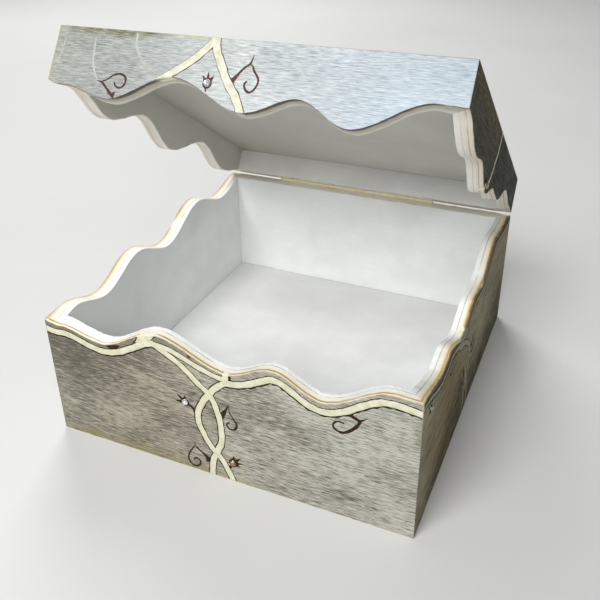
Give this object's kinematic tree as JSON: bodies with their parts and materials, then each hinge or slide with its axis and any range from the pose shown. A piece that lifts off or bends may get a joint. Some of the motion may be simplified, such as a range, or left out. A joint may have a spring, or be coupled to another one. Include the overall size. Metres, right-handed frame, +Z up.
{
  "type": "decorative wooden keepsake box",
  "caption": "Square plywood keepsake box whose hinged lid is parted from the base by a wavy saw cut, with a brass piano hinge and small glass stones.",
  "frame": {"origin": "centre of the underside, on the surface that the box stands on", "axes": "+Z up, the front faces -Y, the hinge runs along X at the back; the lid stands 33.6 degrees open, as in the picture"},
  "size_m": [0.2014, 0.2201, 0.21],
  "materials": {
    "stained_wood": "plywood stained silvery grey outside, painted white inside, satin",
    "painted_wood": "plywood painted white, satin",
    "brass": "drawn brass, lightly dulled",
    "screw_brass": "turned brass",
    "clear_glass": "cut glass, foiled back",
    "amber_glass": "cut glass, foiled back"
  },
  "bodies": {
    "base": {"base_front": "stained_wood", "base_back": "stained_wood", "base_left": "stained_wood", "base_right": "stained_wood", "base_bottom": "painted_wood", "hinge_leaf_base": "brass", "hinge_pin": "brass", "hinge_screw_base_1": "screw_brass", "hinge_screw_base_2": "screw_brass", "hinge_screw_base_3": "screw_brass", "hinge_screw_base_4": "screw_brass", "stone_base_front_clear": "clear_glass", "stone_base_front_amber": "amber_glass", "stone_base_right_clear": "clear_glass"},
    "lid": {"lid_front": "stained_wood", "lid_back": "stained_wood", "lid_left": "stained_wood", "lid_right": "stained_wood", "lid_top": "stained_wood", "hinge_leaf_lid": "brass", "hinge_screw_lid_1": "screw_brass", "hinge_screw_lid_2": "screw_brass", "hinge_screw_lid_3": "screw_brass", "hinge_screw_lid_4": "screw_brass", "stone_lid_front_clear": "clear_glass", "stone_lid_right_amber": "amber_glass"}
  },
  "joints": [
    {"name": "lid_hinge", "type": "hinge", "parent": "base", "child": "lid", "pos_m": [0, 0.104, 0.0766], "axis": [-1, 0, 0], "range_deg": [-33.6, 146.4]}
  ]
}
